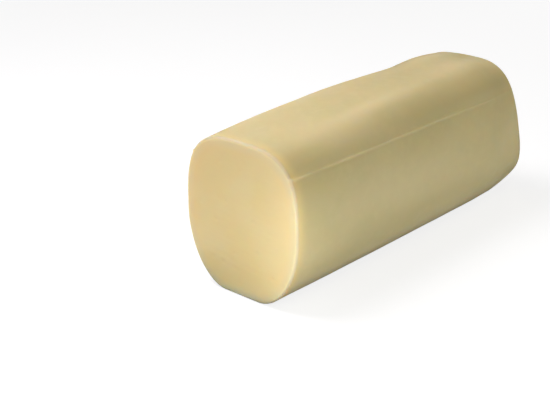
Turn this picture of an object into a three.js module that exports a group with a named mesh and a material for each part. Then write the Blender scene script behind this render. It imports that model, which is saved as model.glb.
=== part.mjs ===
// A loaf of firm mozzarella that has been sliced from one end and lies on its long side.
// Millimetres, +Z up. The loaf runs along Y: its cut face looks along -Y and its moulded end along +Y.
// The origin is at the middle of the loaf's box, on the surface that the loaf rests on.
//
// The skin is one closed surface. Its sections are rounded squares that stand side by side along the
// loaf. Each has a flat strip below, two lower corners and two upper corners. Towards the far end the
// sections shrink along three arcs (top, underside and sides) and lean back over the loaf.

import * as THREE from 'three';

// ---- driving dimensions ----

const LOAF_LENGTH = 287.4;       // along the underside, from the cut face to the far end's nose
const BASE_HALF_WIDTH = 13.7;    // half of the flat strip that the loaf rests on
const WIDEST_SHARE = 0.47;       // height of the widest line, as a share of the section's height

// Section sizes at equal steps along the loaf, from the cut face to the far end. The ridge is a soft
// crease along each shoulder, and its place is its distance from the middle.
const STATIONS = [
  { halfWidth: 44.8, top: 100, ridgePlace: 23 },
  { halfWidth: 44.7, top: 103.1, ridgePlace: 22 },
  { halfWidth: 43.5, top: 105.4, ridgePlace: 21 },
  { halfWidth: 43.3, top: 106.9, ridgePlace: 22 },
  { halfWidth: 43.4, top: 106.5, ridgePlace: 20 },
  { halfWidth: 44, top: 105.5, ridgePlace: 15.5 },
  { halfWidth: 44.1, top: 106.3, ridgePlace: 14.5 },
  { halfWidth: 42.1, top: 104.3, ridgePlace: 20 },
  { halfWidth: 43.3, top: 102.8, ridgePlace: 20 },
];
const RIDGE_RISE = 0.5;
const RIDGE_HALF_WIDTH = 7;
const RIDGE_FADE = 70;           // the ridge dies away over this length at both ends of the loaf

// Powers of the corner curves: 2 is an ellipse, and a higher power is a squarer corner.
const UPPER_CORNER_POWERS = [3.2, 2.8, 3.6];   // at the cut face, in the middle and at the far end
const LOWER_CORNER_POWER = 2.24;
const CUT_LOWER_CORNER_POWER = 1.88;   // the lower corners are rounder beside the cut
const CUT_CORNER_REACH = 60;           // how far that rounder form reaches into the loaf

// The far end: each arc starts `length` before the end and closes by `depth` at the end.
const TOP_ARC = { length: 22.2, depth: 38, power: 2 };
const UNDERSIDE_ARC = { length: 45, depth: 11.2, power: 1.4 };
const SIDE_ARC = { length: 35, depth: 14.4, power: 4.3 };
const END_LEAN = 34.9;           // how far the far end leans back at LEAN_HEIGHT
const LEAN_HEIGHT = 100;
const LEAN_POWER = 0.83;
const END_BULGE = 9.4;           // how far the end's middle stands past its sides, BULGE_HALF_WIDTH out
const BULGE_HALF_WIDTH = 40;
const LEAN_REACH = 110;          // lean and bulge fade out this far before the end

const RIM_RADIUS = 1.8;          // the soft edge round the cut face

// The mould's seam: a thin raised line along both sides and round the far end. It climbs a little
// towards the cut face.
const SEAM_HEIGHT = 84.8;
const SEAM_CLIMB = 1;
const SEAM_CLIMB_SHARE = 0.35;   // share of the loaf's length over which it climbs
const SEAM_PROUD = 0.7;
const SEAM_HALF_WIDTH = 1.0;
const SEAM_FOOT = 1.8;           // height from the seam's crest to each foot

// ---- how finely the surface is divided ----

const LOWER_CORNER_STEPS = 12;
const WALL_STEPS = 8;
const CROWN_STEPS = 12;
const BASE_STEPS = 4;
const RIM_STEPS = 3;
const BODY_STEPS = 22;
const END_STEPS = 18;
const END_ZONE = 60;             // length of the finely divided far end
const END_RINGS = 3;
const HIGHEST_SEAM_TURN = THREE.MathUtils.degToRad(78);
const SEAM_TURN_GAP = THREE.MathUtils.degToRad(2);     // least turn from the crest to a foot
const SEAM_TURN_REACH = THREE.MathUtils.degToRad(6);   // most turn from the crest to its upper foot
const RING_CLEARANCE = 0.5;      // least distance from a ring that follows the seam to its neighbours
const QUARTER_TURN = Math.PI / 2;

// ---- sections ----

function smoothCurve(points) {
  return new THREE.CatmullRomCurve3(points, false, 'catmullrom');
}

const sizeCurve = smoothCurve(
  STATIONS.map(({ halfWidth, ridgePlace, top }) => new THREE.Vector3(halfWidth, ridgePlace, top)),
);
const cornerCurve = smoothCurve(UPPER_CORNER_POWERS.map((power) => new THREE.Vector3(power, 0, 0)));

// How far an end arc has closed in at a place along the loaf.
function arcDepth(along, arc) {
  const run = THREE.MathUtils.clamp((along - LOAF_LENGTH + arc.length) / arc.length, 0, 1);
  return arc.depth * (1 - (1 - run ** arc.power) ** (1 / arc.power));
}

// How far the soft rim has drawn the section in, beside the cut face.
function rimInset(along) {
  const run = THREE.MathUtils.clamp(1 - along / RIM_RADIUS, 0, 1);
  return RIM_RADIUS * (1 - Math.sqrt(1 - run ** 2));
}

// How high the shoulder ridge stands at a place along the loaf.
function ridgeRise(along) {
  const fromCut = THREE.MathUtils.smoothstep(along, 0, RIDGE_FADE);
  const fromEnd = THREE.MathUtils.smoothstep(LOAF_LENGTH - along, 0, RIDGE_FADE);
  return RIDGE_RISE * fromCut * fromEnd;
}

function sectionAt(along) {
  const share = THREE.MathUtils.clamp(along / LOAF_LENGTH, 0, 1);
  const size = sizeCurve.getPoint(share);
  const inset = rimInset(along);
  const top = size.z - arcDepth(along, TOP_ARC) - inset;
  const bottom = arcDepth(along, UNDERSIDE_ARC) + inset;
  const nearCut = Math.exp(-((along / CUT_CORNER_REACH) ** 2));
  return {
    along,
    top,
    bottom,
    middle: bottom + (top - bottom) * WIDEST_SHARE,
    halfWidth: size.x - arcDepth(along, SIDE_ARC) - inset,
    upperPower: cornerCurve.getPoint(share).x,
    lowerPower: THREE.MathUtils.lerp(LOWER_CORNER_POWER, CUT_LOWER_CORNER_POWER, nearCut),
    seamHeight: SEAM_HEIGHT + SEAM_CLIMB * Math.exp(-((share / SEAM_CLIMB_SHARE) ** 2)),
    ridgePlace: size.y,
    ridgeRise: ridgeRise(along),
  };
}

// How far the far end's form draws a point back: the more, the higher it is, the further out to the
// side and the nearer the end.
function drawBack(along, across, height) {
  const share = THREE.MathUtils.clamp((along - LOAF_LENGTH + LEAN_REACH) / LEAN_REACH, 0, 1);
  const lean = END_LEAN * (Math.max(height, 0) / LEAN_HEIGHT) ** LEAN_POWER;
  return (lean + END_BULGE * (across / BULGE_HALF_WIDTH) ** 2) * share ** 2;
}

// The turn of the upper corner's curve at which a section reaches a height.
function turnAtHeight(section, height) {
  const share = (height - section.middle) / (section.top - section.middle);
  return Math.asin(THREE.MathUtils.clamp(share, 0, 1) ** (section.upperPower / 2));
}

// A point of the section. side is 1 on the right and -1 on the left, and turn runs from a quarter
// turn down, at the base strip's edge, through 0, at the widest line, to a quarter turn up.
function sectionPoint(section, side, turn) {
  const upper = turn >= 0;
  const power = upper ? section.upperPower : section.lowerPower;
  const flat = upper ? 0 : BASE_HALF_WIDTH;
  const across = Math.max(Math.cos(turn), 0) ** (2 / power);
  const updown = Math.min(Math.abs(Math.sin(turn)), 1) ** (2 / power);
  const rise = (upper ? section.top - section.middle : section.bottom - section.middle) * updown;
  const reach = flat + (section.halfWidth - flat) * across;
  const point = new THREE.Vector3(side * reach, 0, section.middle + rise);
  if (upper) {
    point.z += updown * ridgeHeight(section, reach);
    raiseSeam(point, section);
  }
  point.y = section.along - drawBack(section.along, point.x, point.z);
  return point;
}

// How much the shoulder ridge adds at a distance from the middle.
function ridgeHeight(section, across) {
  return section.ridgeRise * Math.exp(-(((across - section.ridgePlace) / RIDGE_HALF_WIDTH) ** 2));
}

// Pushes a point of the upper half out where the seam runs, square to the section's curve.
function raiseSeam(point, section) {
  const proud = SEAM_PROUD * Math.exp(-(((point.z - section.seamHeight) / SEAM_HALF_WIDTH) ** 2));
  const height = section.top - section.middle;
  const steepness = section.upperPower - 1;
  const sideways = (Math.abs(point.x) / section.halfWidth) ** steepness / section.halfWidth;
  const upwards = ((point.z - section.middle) / height) ** steepness / height;
  const outward = new THREE.Vector2(Math.sign(point.x) * sideways, upwards).normalize();
  point.x += outward.x * proud;
  point.z += outward.y * proud;
}

// The turns at which a section has points, from the base strip to the crown. Three of them follow
// the seam's two feet and its crest.
function turnsOf(section) {
  const crest = Math.min(turnAtHeight(section, section.seamHeight), HIGHEST_SEAM_TURN);
  const below = Math.min(turnAtHeight(section, section.seamHeight - SEAM_FOOT), crest - SEAM_TURN_GAP);
  const above = Math.max(
    Math.min(turnAtHeight(section, section.seamHeight + SEAM_FOOT), crest + SEAM_TURN_REACH),
    crest + SEAM_TURN_GAP,
  );
  const turns = [];
  for (let i = 0; i < LOWER_CORNER_STEPS; i++) turns.push(-QUARTER_TURN * (1 - i / LOWER_CORNER_STEPS));
  for (let i = 0; i < WALL_STEPS; i++) turns.push((below * i) / WALL_STEPS);
  turns.push(below, crest);
  for (let i = 0; i <= CROWN_STEPS; i++) {
    turns.push(THREE.MathUtils.lerp(above, QUARTER_TURN, i / CROWN_STEPS));
  }
  return turns;
}

// One closed ring of points: up the right side, over the crown, down the left and back along the base.
function ringAt(along) {
  const section = sectionAt(along);
  const turns = turnsOf(section);
  const rightSide = turns.map((turn) => sectionPoint(section, 1, turn));
  const leftSide = turns.slice(0, -1).reverse().map((turn) => sectionPoint(section, -1, turn));
  const ring = [...rightSide, ...leftSide];
  const baseStart = leftSide[leftSide.length - 1];
  for (let i = 1; i < BASE_STEPS; i++) {
    ring.push(new THREE.Vector3().lerpVectors(baseStart, rightSide[0], i / BASE_STEPS));
  }
  return ring;
}

// The place along the loaf where the crown, coming down at the far end, passes a height.
function placeOfCrown(height) {
  const crown = STATIONS[STATIONS.length - 1].top;
  const closed = 1 - (crown - height) / TOP_ARC.depth;
  const run = (1 - closed ** TOP_ARC.power) ** (1 / TOP_ARC.power);
  return LOAF_LENGTH - TOP_ARC.length * (1 - run);
}

// Every place along the loaf that has a ring.
function placesOfRings() {
  const places = [];
  for (let i = 0; i < RIM_STEPS; i++) {
    places.push(RIM_RADIUS * (1 - Math.cos((QUARTER_TURN * i) / RIM_STEPS)));
  }
  const endStart = LOAF_LENGTH - END_ZONE;
  for (let i = 0; i < BODY_STEPS; i++) {
    places.push(THREE.MathUtils.lerp(RIM_RADIUS, endStart, i / BODY_STEPS));
  }
  for (let i = 0; i <= END_STEPS; i++) {
    places.push(endStart + END_ZONE * Math.sin((QUARTER_TURN * i) / END_STEPS));
  }
  const seamPlaces = [SEAM_FOOT, 0, -SEAM_FOOT].map((step) => placeOfCrown(SEAM_HEIGHT + step));
  const isClear = (place) => seamPlaces.every((seam) => Math.abs(seam - place) > RING_CLEARANCE);
  return [...places.filter(isClear), ...seamPlaces].sort((a, b) => a - b);
}

// ---- the closed surface ----

class ClosedSurface {
  positions = [];
  faces = [];

  addPoint(point) {
    this.positions.push(point.x, point.y, point.z);
    return this.positions.length / 3 - 1;
  }

  addRing(points) {
    return points.map((point) => this.addPoint(point));
  }

  // Joins two rings of the same count, the first nearer the cut face.
  bridge(near, far) {
    near.forEach((corner, i) => {
      const next = (i + 1) % near.length;
      this.faces.push(corner, far[i], far[next], corner, far[next], near[next]);
    });
  }

  // Closes a ring to one point: the cut face looks along -Y and the far end along +Y.
  fan(ring, centre, towardsEnd) {
    ring.forEach((corner, i) => {
      const next = ring[(i + 1) % ring.length];
      this.faces.push(...(towardsEnd ? [next, corner, centre] : [corner, next, centre]));
    });
  }

  toGeometry() {
    const geometry = new THREE.BufferGeometry();
    geometry.setAttribute('position', new THREE.Float32BufferAttribute(this.positions, 3));
    geometry.setIndex(this.faces);
    return geometry;
  }
}

// A ring of the far end's face, shrunk towards its middle.
function endRing(outerRing, centre, share) {
  return outerRing.map((point) => {
    const inner = new THREE.Vector3().lerpVectors(centre, point, share);
    inner.y = LOAF_LENGTH - drawBack(LOAF_LENGTH, inner.x, inner.z);
    return inner;
  });
}

function loafGeometry() {
  const surface = new ClosedSurface();
  const places = placesOfRings();
  const rings = places.map((place) => surface.addRing(ringAt(place)));
  for (let i = 1; i < rings.length; i++) surface.bridge(rings[i - 1], rings[i]);

  const cut = sectionAt(places[0]);
  surface.fan(rings[0], surface.addPoint(new THREE.Vector3(0, 0, cut.middle)), false);

  const noseHeight = sectionAt(LOAF_LENGTH).middle;
  const nose = new THREE.Vector3(0, LOAF_LENGTH - drawBack(LOAF_LENGTH, 0, noseHeight), noseHeight);
  const outline = ringAt(LOAF_LENGTH);
  let outer = rings[rings.length - 1];
  for (let i = END_RINGS - 1; i > 0; i--) {
    const inner = surface.addRing(endRing(outline, nose, i / END_RINGS));
    surface.bridge(outer, inner);
    outer = inner;
  }
  surface.fan(outer, surface.addPoint(nose), true);

  const geometry = surface.toGeometry();
  geometry.computeBoundingBox();
  const { min, max } = geometry.boundingBox;
  geometry.translate(-(min.x + max.x) / 2, -(min.y + max.y) / 2, -min.z);
  geometry.computeVertexNormals();
  return geometry;
}

// ---- the model ----

const cheeseMaterial = new THREE.MeshStandardMaterial({ color: 0xdcc795, roughness: 0.5, metalness: 0 });

const loaf = new THREE.Mesh(loafGeometry(), cheeseMaterial);
loaf.name = 'loaf';

const cheese = new THREE.Group();
cheese.add(loaf);

export default cheese;
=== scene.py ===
"""A loaf of firm mozzarella, sliced from one end, on a plain white studio floor.

The frame's plain loaf gives the size and the place. A finer loaf of the same form stands for it here,
with the mould's seam, the soft unevenness of the skin, and the knife's marks and small holes in the
cut face.
Sizes are in millimetres until a mesh is made, and the frame is in metres.
"""

import math

import bpy
import numpy as np
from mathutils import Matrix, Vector, noise


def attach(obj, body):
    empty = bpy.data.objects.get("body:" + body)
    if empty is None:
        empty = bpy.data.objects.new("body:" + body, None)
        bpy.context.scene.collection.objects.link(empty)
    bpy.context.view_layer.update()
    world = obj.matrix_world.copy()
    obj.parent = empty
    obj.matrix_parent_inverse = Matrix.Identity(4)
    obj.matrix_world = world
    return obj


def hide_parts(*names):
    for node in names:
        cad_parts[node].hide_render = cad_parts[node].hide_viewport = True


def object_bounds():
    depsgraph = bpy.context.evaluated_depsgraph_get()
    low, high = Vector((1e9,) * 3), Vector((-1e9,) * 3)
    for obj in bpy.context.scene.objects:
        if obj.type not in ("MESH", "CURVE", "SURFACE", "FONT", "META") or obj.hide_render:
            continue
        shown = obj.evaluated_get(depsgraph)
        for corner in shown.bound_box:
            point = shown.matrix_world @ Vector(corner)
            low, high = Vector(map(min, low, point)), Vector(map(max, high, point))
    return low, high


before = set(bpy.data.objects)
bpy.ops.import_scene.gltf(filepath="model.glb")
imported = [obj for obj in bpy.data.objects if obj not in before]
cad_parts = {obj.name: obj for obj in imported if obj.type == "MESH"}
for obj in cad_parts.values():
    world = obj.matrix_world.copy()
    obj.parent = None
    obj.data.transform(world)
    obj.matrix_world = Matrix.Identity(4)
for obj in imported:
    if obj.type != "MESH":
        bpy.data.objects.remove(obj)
CAD_LOW, CAD_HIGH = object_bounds()
MM = 0.001

# ---- the loaf's form, with the same dimensions as its solid ----

LOAF_LENGTH = 287.4  # from the cut face to the last section, before the far end leans back
BASE_HALF_WIDTH = 13.7  # half of the flat strip that the loaf rests on
WIDEST_SHARE = 0.47  # height of the widest line, as a share of the section's height
# Section sizes at equal steps along the loaf, from the cut face to the far end.
STATION_HALF_WIDTHS = [44.8, 44.7, 43.5, 43.3, 43.4, 44, 44.1, 42.1, 43.3]
STATION_TOPS = [100, 103.1, 105.4, 106.9, 106.5, 105.5, 106.3, 104.3, 102.8]
# The low ridge along each shoulder lies at this distance from the middle.
STATION_RIDGE_PLACES = [23, 22, 21, 22, 20, 15.5, 14.5, 20, 20]
RIDGE_RISE = 0.5
RIDGE_HALF_WIDTH = 7
RIDGE_FADE = 70  # the ridge dies away over this length at both ends of the loaf
# Powers of the corner curves: 2 is an ellipse, and a higher power is a squarer corner.
UPPER_CORNER_POWERS = [3.2, 2.8, 3.6]  # at the cut face, in the middle and at the far end
LOWER_CORNER_POWER = 2.24
CUT_LOWER_CORNER_POWER = 1.88  # the lower corners are rounder beside the cut
CUT_CORNER_REACH = 60  # how far from the cut they are so
# How the far end closes in from above, from below and from each side.
TOP_ARC = {"length": 22.2, "depth": 38, "power": 2}
UNDERSIDE_ARC = {"length": 45, "depth": 11.2, "power": 1.4}
SIDE_ARC = {"length": 35, "depth": 14.4, "power": 4.3}
END_LEAN = 34.9  # how far the far end leans back at LEAN_HEIGHT
LEAN_HEIGHT = 100
LEAN_POWER = 0.83
END_BULGE = 9.4  # how far the end's middle stands past points BULGE_HALF_WIDTH out
BULGE_HALF_WIDTH = 40
LEAN_REACH = 110  # the leaning grows from nothing over this length
RIM_RADIUS = 1.8  # the soft edge round the cut face

# ---- the seam, the skin and the cut ----

SEAM_HEIGHT = 84.8
SEAM_CLIMB = 1  # how far the seam climbs towards the cut face
SEAM_CLIMB_SHARE = 0.35  # share of the loaf's length over which it climbs
SEAM_PROUD = 0.7  # how far a seam of strength 1 stands out
SEAM_HALF_WIDTH = 0.8
SEAM_REACH = 4  # no point of the mesh further above or below SEAM_HEIGHT belongs to the seam
# How strong the seam is at equal steps along the loaf, from the cut face to the far end.
SEAM_STRENGTHS = [0.95, 0.4, 0.53, 0.75, 0.35, 0.5, 0.55, 0.57, 0.6, 0.45, 0.4, 0.2, 0.12, 0.15, 0.15]
# Uneven strength along the seam. The row picks the line through the noise that each ripple follows.
SEAM_RIPPLES = [
    {"length": 7, "row": 3.1, "strength": 0.25},
    {"length": 2.5, "row": 9, "strength": 0.2},
]
SEAM_WANDER = 0.12  # how far the crest strays up or down
SEAM_WANDER_LENGTH = 23
SEAM_WANDER_ROW = (1, 5)
# The skin's unevenness, from the slowest to the finest. The shift picks the part of the noise.
SKIN_WAVES = [
    {"across": 38, "along": 60, "shift": 7, "depth": 0.32},
    {"across": 13, "along": 19, "shift": 31, "depth": 0.11},
    {"across": 4.5, "along": 6, "shift": 53, "depth": 0.03},
]
RELIEF_START = 1  # up to this height the skin is plain, so that the loaf rests flat
RELIEF_FADE = 6  # height above it over which the unevenness grows
CUT_MARGIN = 7  # beside the rim, the width over which the cut face's unevenness dies away
CUT_WAVE = {"length": 30, "row": 17, "depth": 0.25}
KNIFE_RIDGES = {"length": 40, "spacing": 2.6, "slope": 0.04, "row": 23, "depth": 0.05}
HOLE_COUNT = 16
HOLE_SEED = 7
HOLE_RADII = (0.9, 1.5)
HOLE_DEPTHS = (0.12, 0.3)
# The holes' places: a box, less its corners outside a rounded square.
HOLE_HALF_WIDTH = 40
HOLE_HEIGHTS = (6, 96)
HOLE_MIDDLE_HEIGHT = 51
HOLE_HALF_HEIGHT = 46
HOLE_CORNER_POWER = 4
HOLE_FIELD_SIZE = 0.8
# Painted light (above 0) and painted shade (below 0) in broad patches on the skin. Those on the shoulders
# lie at a share of the loaf's length and a distance out from its middle. Those on the sides run along it at
# a height.
SHOULDER_PAINTED_SHADING = [
    {"share": 0.22, "share_reach": 0.13, "out": 30, "out_reach": 8, "painted_shading": 0.6},
    {"share": 0.36, "share_reach": 0.22, "out": 23, "out_reach": 6, "painted_shading": 1.0},
    {"share": 0.76, "share_reach": 0.12, "out": 13, "out_reach": 7, "painted_shading": 0.9},
    {"share": 0.72, "share_reach": 0.28, "out": 31, "out_reach": 8, "painted_shading": -1.4},
    {"share": 0.0, "share_reach": 0.1, "out": 31, "out_reach": 10, "painted_shading": -0.9},
]
SIDE_PAINTED_SHADING = [
    {"share": 0.45, "share_reach": 2, "height": 8, "reach": 9, "painted_shading": 1.6},
    {"share": 0.5, "share_reach": 0.3, "height": 31, "reach": 8, "painted_shading": -0.7},
    {"share": 0.4, "share_reach": 0.25, "height": 53, "reach": 10, "painted_shading": 0.4},
    {"share": 0.9, "share_reach": 0.12, "height": 46, "reach": 18, "painted_shading": 1.6},
    {"share": 0.0, "share_reach": 0.1, "height": 72, "reach": 22, "painted_shading": -1.1},
]
PAINTED_SHADING_SOFTNESS = 8  # the patches of painted light and shade set in over this width
SIDE_START = 18  # distance from the middle at which the sides' patches set in

# ---- how finely the surface is divided ----

SEAM_ZONE = 2.4  # finely divided height on each side of the crest
HIGHEST_SEAM_TURN = math.radians(78)  # where the crown lies lower than the seam, the crest stays here
SEAM_TURN_GAP = math.radians(1.5)  # the least that the fine zone turns on each side of the crest
WIDEST_SEAM_TURN = 3 * SEAM_TURN_GAP  # the most that it turns above the crest
LOWER_POINTS = 76  # on each side, from the base strip up to the seam
SEAM_POINTS = 6  # on each side of the crest
CROWN_POINTS = 36
BASE_POINTS = 12
RIM_RINGS = 8
BODY_RINGS = 180
END_RINGS = 56
END_ZONE = 60
SEAM_RINGS = 6  # on each side of the place where the seam crosses the far end's crown
SEAM_RING_STEP = 0.45  # height between two of those rings
SEAM_RING_CLEARANCE = 0.05  # no other ring lies closer to one of them
CUT_FACE_RINGS = 56
END_FACE_RINGS = 18
PROFILE_SAMPLES = 1500


def catmull_rom(values, share):
    """Reads values given at equal steps at a share of the way along, on a smooth curve through them."""
    padded = np.array([2 * values[0] - values[1], *values, 2 * values[-1] - values[-2]], float)
    place = np.clip(share, 0, 1) * (len(values) - 1)
    first = np.minimum(place.astype(int), len(values) - 2)
    run = place - first
    before, here, after, beyond = (padded[first + k] for k in range(4))
    slope_here = (after - before) / 2
    slope_after = (beyond - here) / 2
    square = 3 * (after - here) - 2 * slope_here - slope_after
    cube = 2 * (here - after) + slope_here + slope_after
    return here + slope_here * run + square * run**2 + cube * run**3


def arc_depth(along, arc):
    """How far an arc of the far end has closed in at a place along the loaf."""
    run = np.clip((along - LOAF_LENGTH + arc["length"]) / arc["length"], 0, 1)
    return arc["depth"] * (1 - (1 - run ** arc["power"]) ** (1 / arc["power"]))


def smooth_step(share):
    """A soft step from 0 to 1."""
    share = np.clip(share, 0, 1)
    return share**2 * (3 - 2 * share)


def ridge_rise(along):
    """How high the shoulder ridge stands at a place along the loaf."""
    return RIDGE_RISE * smooth_step(along / RIDGE_FADE) * smooth_step((LOAF_LENGTH - along) / RIDGE_FADE)


def section_at(along):
    """The section's sizes at a place along the loaf."""
    rim_run = np.clip(1 - along / RIM_RADIUS, 0, 1)
    inset = RIM_RADIUS * (1 - np.sqrt(1 - rim_run**2))
    share = along / LOAF_LENGTH
    top = catmull_rom(STATION_TOPS, share) - arc_depth(along, TOP_ARC) - inset
    bottom = arc_depth(along, UNDERSIDE_ARC) + inset
    width = catmull_rom(STATION_HALF_WIDTHS, share)
    near_cut = np.exp(-((along / CUT_CORNER_REACH) ** 2))
    return {
        "along": along,
        "top": top,
        "bottom": bottom,
        "middle": bottom + (top - bottom) * WIDEST_SHARE,
        "half_width": width - arc_depth(along, SIDE_ARC) - inset,
        "upper_power": catmull_rom(UPPER_CORNER_POWERS, share),
        "lower_power": LOWER_CORNER_POWER + (CUT_LOWER_CORNER_POWER - LOWER_CORNER_POWER) * near_cut,
        "ridge_place": catmull_rom(STATION_RIDGE_PLACES, share),
        "ridge_rise": ridge_rise(along),
    }


def draw_back(along, across, height):
    """How far the far end's form draws a point back over the loaf."""
    share = np.clip((along - LOAF_LENGTH + LEAN_REACH) / LEAN_REACH, 0, 1)
    lean = END_LEAN * (np.maximum(height, 0) / LEAN_HEIGHT) ** LEAN_POWER
    return (lean + END_BULGE * (across / BULGE_HALF_WIDTH) ** 2) * share**2


def profile(section, turns):
    """Points (across, height) of the right side. Turns run from -90 degrees, at the base, up to 90."""
    upper = turns >= 0
    power = np.where(upper, section["upper_power"], section["lower_power"])
    flat = np.where(upper, 0, BASE_HALF_WIDTH)
    across = np.maximum(np.cos(turns), 0) ** (2 / power)
    updown = np.minimum(np.abs(np.sin(turns)), 1) ** (2 / power)
    reach = np.where(upper, section["top"], section["bottom"]) - section["middle"]
    out = flat + (section["half_width"] - flat) * across
    ridge = section["ridge_rise"] * np.exp(-(((out - section["ridge_place"]) / RIDGE_HALF_WIDTH) ** 2))
    return out, section["middle"] + (reach + np.where(upper, ridge, 0)) * updown


def seam_height(share):
    """The height of the seam's crest at a share of the loaf's length."""
    return SEAM_HEIGHT + SEAM_CLIMB * np.exp(-((share / SEAM_CLIMB_SHARE) ** 2))


def turn_at_height(section, height):
    """The turn at which the upper half of the right side passes a height."""
    share = (height - section["middle"]) / (section["top"] - section["middle"])
    return math.asin(min(max(share, 0), 1) ** (section["upper_power"] / 2))


def profile_turns(section):
    """The turns of the right side's points: even steps along the skin, and finer ones at the seam."""
    crest_height = seam_height(section["along"] / LOAF_LENGTH)
    crest = min(turn_at_height(section, crest_height), HIGHEST_SEAM_TURN)
    below = min(turn_at_height(section, crest_height - SEAM_ZONE), crest - SEAM_TURN_GAP)
    above = max(
        min(turn_at_height(section, crest_height + SEAM_ZONE), crest + WIDEST_SEAM_TURN),
        crest + SEAM_TURN_GAP,
    )
    dense = np.linspace(-math.pi / 2, math.pi / 2, PROFILE_SAMPLES)
    across, height = profile(section, dense)
    lengths = np.concatenate([[0], np.cumsum(np.hypot(np.diff(across), np.diff(height)))])
    stops = np.interp([-math.pi / 2, below, crest, above, math.pi / 2], dense, lengths)
    counts = [LOWER_POINTS, SEAM_POINTS, SEAM_POINTS, CROWN_POINTS]
    parts = [
        np.linspace(start, end, count, endpoint=False)
        for start, end, count in zip(stops, stops[1:], counts)
    ]
    return np.interp(np.concatenate([*parts, stops[-1:]]), lengths, dense)


def ring_at(along):
    """A closed ring of points: up the right side, over the crown, down the left and back along the base."""
    section = section_at(np.float64(along))
    across, height = profile(section, profile_turns(section))
    base = np.linspace(-across[0], across[0], BASE_POINTS + 1)[1:-1]
    ring_across = np.concatenate([across, -across[-2::-1], base])
    ring_height = np.concatenate([height, height[-2::-1], np.full(len(base), height[0])])
    places = along - draw_back(along, ring_across, ring_height)
    return np.stack([ring_across, places, ring_height], axis=1)


def place_of_crown(height):
    """The place along the loaf where the crown, coming down at the far end, passes a height."""
    closed = 1 - (STATION_TOPS[-1] - height) / TOP_ARC["depth"]
    run = (1 - closed ** TOP_ARC["power"]) ** (1 / TOP_ARC["power"])
    return LOAF_LENGTH - TOP_ARC["length"] * (1 - run)


def ring_places():
    """Every place along the loaf that has a ring of points."""
    rim = RIM_RADIUS * (1 - np.cos(np.linspace(0, math.pi / 2, RIM_RINGS, endpoint=False)))
    end_start = LOAF_LENGTH - END_ZONE
    body = np.linspace(RIM_RADIUS, end_start, BODY_RINGS, endpoint=False)
    end = end_start + END_ZONE * np.sin(np.linspace(0, math.pi / 2, END_RINGS))
    steps = np.arange(-SEAM_RINGS, SEAM_RINGS + 1) * SEAM_RING_STEP
    seam = np.array([place_of_crown(SEAM_HEIGHT + step) for step in steps])
    even = np.concatenate([rim, body, end])
    clear = [place for place in even if np.abs(seam - place).min() > SEAM_RING_CLEARANCE]
    return np.sort(np.concatenate([clear, seam]))


# ---- the mesh ----

CUT_MIDDLE_POINT = -2  # the last two points of the mesh are the middles of the cut face and of the far end


def shrink_rings(outer, centre, count):
    """Rings that shrink from an outer ring towards a centre point, with neither of the two."""
    shares = 1 - np.arange(1, count) / count
    return [centre + (outer - centre) * share for share in shares]


def loaf_rings():
    """All rings from the middle of the cut face to the middle of the far end, and the two middles."""
    skin = [ring_at(place) for place in ring_places()]
    cut = section_at(np.float64(0))
    cut_centre = np.array([0, 0, cut["middle"]])
    cut_rings = shrink_rings(skin[0], cut_centre, CUT_FACE_RINGS)[::-1]
    nose_height = section_at(np.float64(LOAF_LENGTH))["middle"]
    nose = np.array([0, LOAF_LENGTH - draw_back(LOAF_LENGTH, 0, nose_height), nose_height])
    end_rings = shrink_rings(skin[-1], nose, END_FACE_RINGS)
    for ring in end_rings:
        ring[:, 1] = LOAF_LENGTH - draw_back(LOAF_LENGTH, ring[:, 0], ring[:, 2])
    return cut_rings, skin, end_rings, cut_centre, nose


def ring_faces(ring_count, size):
    """Quads between neighbouring rings, then a fan at each end. The two middles are the last points."""
    near = np.arange(ring_count - 1)[:, None] * size
    corner = np.arange(size)
    following = (corner + 1) % size
    quads = np.stack(
        np.broadcast_arrays(near + corner, near + following, near + following + size, near + corner + size),
        axis=2,
    )
    quads = quads.reshape(-1, 4)[:, ::-1]
    first_middle = ring_count * size
    last_ring = (ring_count - 1) * size
    near_fan = [(a, b, first_middle) for a, b in zip(corner, following)]
    far_fan = [(last_ring + b, last_ring + a, first_middle + 1) for a, b in zip(corner, following)]
    return quads.tolist() + near_fan + far_fan


def skin_relief(x, y, z):
    """How far the skin stands out of the plain form."""
    relief = 0
    for wave in SKIN_WAVES:
        place = (x / wave["across"], y / wave["along"], z / wave["across"] + wave["shift"])
        relief += wave["depth"] * noise.noise(Vector(place))
    return relief


def seam_relief(y, z):
    """How strong the seam is at a place on the skin: from 0, beside it, to about 1 on its crest."""
    share = share_along(y)
    unevenness = 1
    for ripple in SEAM_RIPPLES:
        unevenness += ripple["strength"] * noise.noise(Vector((y / ripple["length"], ripple["row"], 0)))
    strength = catmull_rom(SEAM_STRENGTHS, np.float64(share)) * unevenness
    wander = SEAM_WANDER * noise.noise(Vector((y / SEAM_WANDER_LENGTH, *SEAM_WANDER_ROW)))
    crest = seam_height(share) + wander
    return max(strength, 0) * math.exp(-(((z - crest) / SEAM_HALF_WIDTH) ** 2))


def share_along(y):
    """How far along the loaf a point of the finished mesh lies, from 0 to 1."""
    return (y - CAD_LOW.y / MM) / ((CAD_HIGH.y - CAD_LOW.y) / MM)


def painted_shading_patch(patch, share, place, reach, distance):
    """How much a soft patch of painted light (above 0) or painted shade (below 0) adds at points at these
    places.
    """
    run = (share - patch["share"]) / patch["share_reach"]
    return patch["painted_shading"] * np.exp(-(run**2) - ((distance - place) / reach) ** 2)


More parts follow.
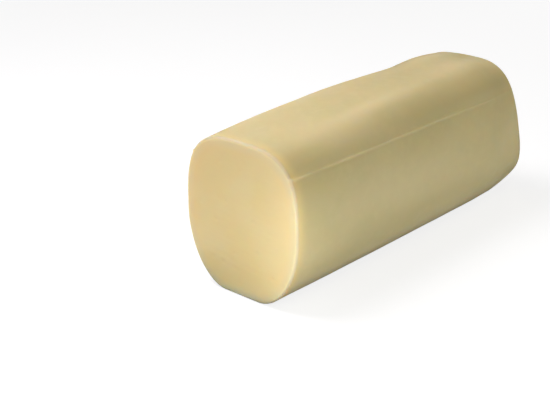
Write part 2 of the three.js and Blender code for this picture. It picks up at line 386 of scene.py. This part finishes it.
def painted_skin_shading(points):
    """How much painted light (above 0) or painted shade (below 0) each point's skin takes, alike on both
    sides.
    """
    out, height = np.abs(points[:, 0]), points[:, 2]
    share = share_along(points[:, 1])
    on_shoulder = smooth_step((height - SEAM_HEIGHT) / PAINTED_SHADING_SOFTNESS)
    on_side = smooth_step((out - SIDE_START) / PAINTED_SHADING_SOFTNESS)
    painted_shading = np.zeros(len(points))
    for patch in SHOULDER_PAINTED_SHADING:
        painted_shading += on_shoulder * painted_shading_patch(patch, share, patch["out"], patch["out_reach"], out)
    for patch in SIDE_PAINTED_SHADING:
        painted_shading += on_side * painted_shading_patch(patch, share, patch["height"], patch["reach"], height)
    return painted_shading


def cut_relief(x, z, edge):
    """The cut face: a slow unevenness, small sunken holes and the fine ridges that the knife dragged."""
    wave, ridges = CUT_WAVE, KNIFE_RIDGES
    slow = noise.noise(Vector((x / wave["length"], wave["row"], z / wave["length"])))
    ridge_run = z / ridges["spacing"] + x * ridges["slope"]
    drag = noise.noise(Vector((x / ridges["length"], ridges["row"], ridge_run)))
    holes = sum(
        depth * math.exp(-((x - hole_x) ** 2 + (z - hole_z) ** 2) / radius**2)
        for hole_x, hole_z, radius, depth in CUT_HOLES
    )
    relief = wave["depth"] * slow + ridges["depth"] * drag - holes
    return relief * smooth_step(edge / CUT_MARGIN)


def scatter_holes(count, draw):
    """Small sunken holes in the cut face: (across, height, radius, depth)."""
    holes = []
    while len(holes) < count:
        x = draw.uniform(-HOLE_HALF_WIDTH, HOLE_HALF_WIDTH)
        z = draw.uniform(*HOLE_HEIGHTS)
        across = abs(x) / HOLE_HALF_WIDTH
        updown = abs(z - HOLE_MIDDLE_HEIGHT) / HOLE_HALF_HEIGHT
        if across**HOLE_CORNER_POWER + updown**HOLE_CORNER_POWER < HOLE_FIELD_SIZE:
            radius = draw.uniform(*HOLE_RADII)
            depth = draw.uniform(*HOLE_DEPTHS)
            holes.append((x, z, radius, depth))
    return holes


CUT_HOLES = scatter_holes(HOLE_COUNT, np.random.default_rng(HOLE_SEED))


def plain_mesh(points, ring_count, size):
    """The mesh before any relief, and its points' normals."""
    mesh = bpy.data.meshes.new("loaf")
    mesh.from_pydata((points * MM).tolist(), [], ring_faces(ring_count, size))
    mesh.update()
    normals = np.empty(len(points) * 3, np.float32)
    mesh.vertex_normals.foreach_get("vector", normals)
    return mesh, normals.reshape(-1, 3)


def reliefs(points, on_cut, edge):
    """How far each point stands out of the plain form, and how strong the seam is there."""
    lift = np.zeros(len(points))
    seam = np.zeros(len(points))
    for i, (x, y, z) in enumerate(points):
        if on_cut[i]:
            lift[i] = cut_relief(x, z, edge[i])
            continue
        grown = min(max((z - RELIEF_START) / RELIEF_FADE, 0), 1)
        lift[i] = skin_relief(x, y, z) * grown
        if abs(z - SEAM_HEIGHT) < SEAM_REACH:
            seam[i] = seam_relief(y, z)
            lift[i] += SEAM_PROUD * seam[i]
    return lift, seam


def build_loaf():
    """The loaf's mesh, and which of its points take the cut's material."""
    cut_rings, skin_rings, end_rings, cut_centre, nose = loaf_rings()
    rings = np.array([*cut_rings, *skin_rings, *end_rings])
    size = rings.shape[1]
    points = np.concatenate([rings.reshape(-1, 3), [cut_centre], [nose]])
    low, high = points.min(axis=0), points.max(axis=0)
    points -= [(low[0] + high[0]) / 2, (low[1] + high[1]) / 2, low[2]]
    mesh, normals = plain_mesh(points, len(rings), size)

    skin_start = len(cut_rings) * size
    on_cut = np.zeros(len(points), bool)
    on_cut[:skin_start] = True
    on_cut[CUT_MIDDLE_POINT] = True
    edge = edge_distances(cut_rings, skin_rings[0], points)
    lift, seam = reliefs(points, on_cut, edge)
    # The rim's points move only within their own section, so that the cut's edge stays in one plane.
    rim = slice(skin_start, skin_start + RIM_RINGS * size)
    normals[rim, 1] = 0
    normals[rim] /= np.linalg.norm(normals[rim], axis=1, keepdims=True)
    points += normals * lift[:, None]

    mesh.vertices.foreach_set("co", (points * MM).astype(np.float32).ravel())
    # The third attribute holds the skin's patches of painted light and shade.
    for name, values in {"seam": seam, "edge": edge, "painted_shading": painted_skin_shading(points)}.items():
        mesh.attributes.new(name, "FLOAT", "POINT").data.foreach_set("value", values.astype(np.float32))
    mesh.shade_smooth()
    mesh.update()
    # The cut's material reaches the first ring of the rim.
    on_cut[: skin_start + size] = True
    return mesh, on_cut


def edge_distances(cut_rings, rim_ring, points):
    """Distance of each point from the rim of the cut, in mm, across the cut face or along the skin."""
    edge = points[:, 1] - points[:, 1].min()
    across = np.linalg.norm(np.array(cut_rings) - rim_ring, axis=2)
    edge[: across.size] = across.ravel()
    edge[CUT_MIDDLE_POINT] = across.max()
    return edge


# ---- materials ----


class Recipe:
    """A node material in the making. Each method adds a node and gives back its output."""

    def __init__(self, name):
        self.material = bpy.data.materials.new(name)
        self.material.use_nodes = True
        self.tree = self.material.node_tree
        self.shader = next(n for n in self.tree.nodes if n.type == "BSDF_PRINCIPLED")

    def node(self, kind, inputs=(), **settings):
        made = self.tree.nodes.new(kind)
        for name, value in settings.items():
            setattr(made, name, value)
        for key, value in dict(inputs).items():
            self.feed(made.inputs[key], value)
        return made

    def feed(self, socket, value):
        if isinstance(value, bpy.types.NodeSocket):
            self.tree.links.new(value, socket)
        else:
            socket.default_value = value

    def place(self, stretch=(1, 1, 1)):
        coordinates = self.node("ShaderNodeTexCoord").outputs["Object"]
        return self.node("ShaderNodeMapping", {"Vector": coordinates, "Scale": stretch}).outputs["Vector"]

    def noise(self, size_mm, stretch=(1, 1, 1), detail=2.0, roughness=0.5):
        inputs = {
            "Vector": self.place(stretch),
            "Scale": 1 / (size_mm * MM),
            "Detail": detail,
            "Roughness": roughness,
        }
        return self.node("ShaderNodeTexNoise", inputs).outputs["Fac"]

    def remap(self, value, low, high, to_low=0.0, to_high=1.0, kind="SMOOTHSTEP"):
        inputs = {"Value": value, "From Min": low, "From Max": high, "To Min": to_low, "To Max": to_high}
        return self.node("ShaderNodeMapRange", inputs, interpolation_type=kind).outputs["Result"]

    def attribute(self, name):
        return self.node("ShaderNodeAttribute", attribute_name=name).outputs["Fac"]

    def blend(self, factor, first, second):
        made = self.tree.nodes.new("ShaderNodeMix")
        made.data_type = "RGBA"
        self.feed(made.inputs["Factor"], factor)
        self.feed(next(s for s in made.inputs if s.name == "A" and s.type == "RGBA"), first)
        self.feed(next(s for s in made.inputs if s.name == "B" and s.type == "RGBA"), second)
        return next(s for s in made.outputs if s.type == "RGBA")

    def bump(self, height, depth_mm, strength, beneath=None):
        inputs = {"Height": height, "Distance": depth_mm * MM, "Strength": strength}
        if beneath is not None:
            inputs["Normal"] = beneath
        return self.node("ShaderNodeBump", inputs).outputs["Normal"]

    def set(self, **values):
        for name, value in values.items():
            self.feed(self.shader.inputs[name.replace("_", " ")], value)


SKIN = (0.745, 0.62, 0.325, 1)
SKIN_OLIVE = (0.70, 0.595, 0.30, 1)
SKIN_PALE = (0.81, 0.68, 0.38, 1)
# Painted shade: the colour that the skin's patches of painted shade darken towards.
SKIN_PAINTED_SHADE = (0.67, 0.555, 0.275, 1)
INSIDE = (0.785, 0.63, 0.325, 1)
INSIDE_WARM = (0.785, 0.615, 0.30, 1)
# Painted highlight: a pale line round the edge of the cut.
CUT_EDGE_HIGHLIGHT = (0.74, 0.615, 0.36, 1)
# Painted glow of the skin beside the cut.
PAINTED_GLOW = (0.79, 0.65, 0.30, 1)
# Painted shade on the skin's rim next to the cut.
PAINTED_RIM_SHADE = (0.64, 0.53, 0.34, 1)
SCATTER_COLOURS = (1.0, 0.72, 0.42)
SCATTER_DEPTH = 10 * MM
# Distances from the rim of the cut.
GLOW_REACH = 10  # up to here the skin is painted warmer, a painted glow for the light that comes through it from the cut
RIM_SHADE_FULL = 0.8  # the rim's painted shade is full up to here
RIM_SHADE_END = 3.2  # and gone here
HIGHLIGHT_ON_SKIN = 0.4  # how far the painted highlight round the cut reaches over the skin
HIGHLIGHT_ON_CUT = 6  # and over the cut face
GLOW_STRENGTH = 0.8
# Noise is stretched along the loaf, or along the cut face for the knife's ridges.
PATCHES_ALONG = (1, 0.6, 1)
MOTTLE_ALONG = (1, 0.7, 1)
KNIFE_ALONG = (0.06, 1, 1)


def skin_material():
    """The loaf's smooth, slightly waxy skin: faintly mottled, paler along the seam, with broad patches of
    painted light and shade, a painted glow beside the cut, painted shade on the rim and a painted highlight
    at the cut's edge.
    """
    r = Recipe("cheese_skin")
    patches = r.remap(r.noise(size_mm=34, stretch=PATCHES_ALONG), low=0.35, high=0.65)
    colour = r.blend(patches, SKIN, SKIN_OLIVE)
    spots = r.noise(size_mm=5, stretch=MOTTLE_ALONG, detail=3)
    mottle = r.remap(spots, low=0.45, high=0.75, to_high=0.25)
    colour = r.blend(mottle, colour, SKIN_PALE)
    # Painted light and shade: broad patches of the skin darkened for shade and paled for light.
    painted_shading = r.attribute("painted_shading")
    colour = r.blend(r.remap(painted_shading, low=0, high=-1, kind="LINEAR"), colour, SKIN_PAINTED_SHADE)
    colour = r.blend(r.remap(painted_shading, low=0, high=1, kind="LINEAR"), colour, SKIN_PALE)
    colour = r.blend(r.remap(r.attribute("seam"), low=0.1, high=0.9, to_high=0.7), colour, SKIN_PALE)
    edge = r.attribute("edge")
    # Painted glow: the skin beside the cut is painted warmer and paler.
    painted_glow = r.remap(edge, low=RIM_RADIUS, high=GLOW_REACH, to_low=GLOW_STRENGTH, to_high=0)
    colour = r.blend(painted_glow, colour, PAINTED_GLOW)
    # Painted shade: the skin's rim is darkened.
    colour = r.blend(r.remap(edge, low=RIM_SHADE_FULL, high=RIM_SHADE_END, to_low=1, to_high=0), colour, PAINTED_RIM_SHADE)
    # Painted highlight: a pale line just over the cut's edge.
    colour = r.blend(r.remap(edge, low=0, high=HIGHLIGHT_ON_SKIN, to_low=1, to_high=0), colour, CUT_EDGE_HIGHLIGHT)
    shine = r.noise(size_mm=9, detail=3)
    roughness = r.remap(shine, low=0.3, high=0.7, to_low=0.42, to_high=0.56)
    fine = r.bump(r.noise(size_mm=0.9, detail=3), depth_mm=0.1, strength=0.25)
    coarse = r.noise(size_mm=4, stretch=MOTTLE_ALONG, detail=3)
    normal = r.bump(coarse, depth_mm=0.3, strength=0.2, beneath=fine)
    r.set(Base_Color=colour, Roughness=roughness, Normal=normal, Subsurface_Weight=1.0)
    r.set(Subsurface_Radius=SCATTER_COLOURS, Subsurface_Scale=SCATTER_DEPTH)
    return r.material


def cut_material():
    """The cut face: the warmer inside of the cheese, with a soft painted highlight along the rim where the
    skin begins.
    """
    r = Recipe("cheese_cut")
    patches = r.remap(r.noise(size_mm=22), low=0.35, high=0.65)
    colour = r.blend(patches, INSIDE, INSIDE_WARM)
    # Painted highlight: a pale line along the rim of the cut face.
    rim_highlight = r.remap(r.attribute("edge"), low=0, high=HIGHLIGHT_ON_CUT, to_low=1, to_high=0)
    colour = r.blend(rim_highlight, colour, CUT_EDGE_HIGHLIGHT)
    shine = r.noise(size_mm=7, detail=3)
    roughness = r.remap(shine, low=0.3, high=0.7, to_low=0.38, to_high=0.5)
    fine = r.bump(r.noise(size_mm=0.7, detail=3), depth_mm=0.08, strength=0.25)
    drag = r.noise(size_mm=2.0, stretch=KNIFE_ALONG)
    normal = r.bump(drag, depth_mm=0.15, strength=0.2, beneath=fine)
    r.set(Base_Color=colour, Roughness=roughness, Normal=normal, Subsurface_Weight=1.0)
    r.set(Subsurface_Radius=SCATTER_COLOURS, Subsurface_Scale=SCATTER_DEPTH)
    return r.material


def add_loaf():
    mesh, on_cut = build_loaf()
    mesh.materials.append(skin_material())
    mesh.materials.append(cut_material())
    slots = [1 if all(on_cut[v] for v in face.vertices) else 0 for face in mesh.polygons]
    mesh.polygons.foreach_set("material_index", slots)
    loaf = bpy.data.objects.new("mozzarella_loaf", mesh)
    bpy.context.scene.collection.objects.link(loaf)
    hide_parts("loaf")
    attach(loaf, "root")


# ---- the studio ----

FLOOR_HALF_SIZE = 30.0
FLOOR_DROP = 0.0002
FLOOR_GREY = 0.3
BACKGROUND = 0.8  # how bright the floor and the background are where no light falls


def add_floor():
    """A floor that only the camera sees. Panels stand for the light that it would give back."""
    mesh = bpy.data.meshes.new("floor")
    s = FLOOR_HALF_SIZE
    mesh.from_pydata([(-s, -s, 0), (s, -s, 0), (s, s, 0), (-s, s, 0)], [], [(0, 1, 2, 3)])
    floor = bpy.data.objects.new("floor", mesh)
    floor.location.z = -FLOOR_DROP
    bpy.context.scene.collection.objects.link(floor)
    r = Recipe("floor_white")
    r.set(Base_Color=(FLOOR_GREY, FLOOR_GREY, FLOOR_GREY, 1), Roughness=1.0, Specular_IOR_Level=0.0)
    r.set(Emission_Color=(1, 1, 1, 1), Emission_Strength=BACKGROUND)
    mesh.materials.append(r.material)
    floor.visible_diffuse = False
    floor.visible_glossy = False


def aim_softbox(name, place, target, size, power, colour=(1, 1, 1)):
    """A square softbox at a place, facing a target."""
    data = bpy.data.lights.new(name, "AREA")
    data.size = size
    data.energy = power
    data.color = colour
    light = bpy.data.objects.new(name, data)
    light.location = place
    light.rotation_euler = (Vector(target) - Vector(place)).to_track_quat("-Z", "Y").to_euler()
    light.visible_camera = False
    bpy.context.scene.collection.objects.link(light)
    return light


LOAF_MIDDLE = (0, 0, 0.053)
NEAR_MIDDLE = (0, -0.08, 0.05)
CUT_MIDDLE = (0, -0.14, 0.05)
PANEL_HEIGHT = 0.002


def add_soft_light(name, azimuth, elevation, distance, size, power, colour=(1, 1, 1), target=LOAF_MIDDLE):
    """A softbox in a direction from its target. Azimuth 0 is in front of the cut face."""
    a, e = math.radians(azimuth), math.radians(elevation)
    towards = Vector((math.sin(a) * math.cos(e), -math.cos(a) * math.cos(e), math.sin(e)))
    return aim_softbox(name, Vector(target) + towards * distance, target, size, power, colour)


def add_floor_panel(name, left, right, near, far, power, colour=(1, 1, 1)):
    """A panel on the floor that faces up: the light that a white floor gives back to the loaf."""
    place = Vector(((left + right) / 2, (near + far) / 2, PANEL_HEIGHT))
    light = aim_softbox(name, place, place + Vector((0, 0, 1)), right - left, power, colour)
    light.rotation_euler = (math.pi, 0, 0)
    light.data.shape = "RECTANGLE"
    light.data.size_y = far - near


def add_softboxes():
    """The studio's lights. Powers are in watts, and lengths in metres."""
    add_soft_light(
        "key", -55, 62, distance=0.7, size=0.35, power=4.45, colour=(1, 0.97, 1), target=NEAR_MIDDLE
    )
    add_soft_light("side", 80, 15, distance=1.3, size=0.4, power=6.35, colour=(0.99, 1, 0.945))
    add_soft_light("left", -115, 35, distance=1.3, size=0.7, power=1.0)
    add_soft_light("back_right", -165, 45, distance=1.3, size=0.3, power=1.0, colour=(1, 0.91, 0.82))
    back_fill = add_soft_light("back_fill", 180, 6, distance=1.3, size=0.3, power=3.6)
    back_fill.visible_glossy = False  # it would mirror as a bright spot on the far shoulder
    add_soft_light("left_fill", -100, 12, distance=1.3, size=0.4, power=0.8)


def add_cards():
    """Small weak lights near the cut face, as from white cards."""
    aim_softbox("card_corner", (0.10, -0.26, 0.03), (0.03, -0.14, 0.04), size=0.08, power=0.050)
    aim_softbox(
        "card_front", (0, -0.30, 0.02), (0, -0.14, 0.04), size=0.1, power=0.120, colour=(0.87, 0.94, 1)
    )
    aim_softbox("card_left", (-0.12, -0.30, 0.06), CUT_MIDDLE, size=0.1, power=0.080, colour=(1, 0.97, 0.8))
    aim_softbox(
        "card_right",
        (0.07, -0.175, 0.06),
        (0.04, -0.14, 0.055),
        size=0.03,
        power=0.011,
        colour=(0.9, 0.95, 1),
    )


def add_floor_panels():
    add_floor_panel("floor_right_close", 0.035, 0.06, -0.15, 0.13, power=0.0032)
    add_floor_panel("floor_right_near", 0.05, 0.15, -0.15, 0.15, power=0.047, colour=(0.97, 1, 0.97))
    add_floor_panel("floor_right_wide", 0.15, 0.45, -0.25, 0.25, power=0.270, colour=(0.92, 1, 0.985))
    add_floor_panel("floor_left", -0.4, -0.06, -0.2, 0.2, power=0.67, colour=(1, 0.95, 0.9))
    add_floor_panel("floor_front", 0.02, 0.12, -0.24, -0.15, power=0.030)


def add_world():
    """A pale background that only the camera sees."""
    world = bpy.data.worlds.new("studio")
    world.use_nodes = True
    background = world.node_tree.nodes["Background"]
    background.inputs["Color"].default_value = (1, 1, 1, 1)
    background.inputs["Strength"].default_value = BACKGROUND
    world.cycles_visibility.diffuse = False
    world.cycles_visibility.glossy = False
    bpy.context.scene.world = world


# ---- the camera ----

CAMERA_AZIMUTH = 41.378
CAMERA_ELEVATION = 22.637
CAMERA_PLACE = (0.4208, -0.5869, 0.3157)
SENSOR_WIDTH = 36
FOCAL_LENGTH = 73.31
CLIP_START = 0.05


def add_camera():
    """The camera at the photo's viewing angle: to the right of the loaf, looking down on it."""
    data = bpy.data.cameras.new("camera")
    data.sensor_width = SENSOR_WIDTH
    data.lens = FOCAL_LENGTH
    data.clip_start = CLIP_START
    camera = bpy.data.objects.new("camera", data)
    camera.location = CAMERA_PLACE
    camera.rotation_euler = (math.radians(90 - CAMERA_ELEVATION), 0, math.radians(CAMERA_AZIMUTH))
    bpy.context.scene.collection.objects.link(camera)
    bpy.context.scene.camera = camera


add_loaf()
add_floor()
add_softboxes()
add_cards()
add_floor_panels()
add_world()
add_camera()
bpy.context.scene.view_settings.view_transform = "Standard"
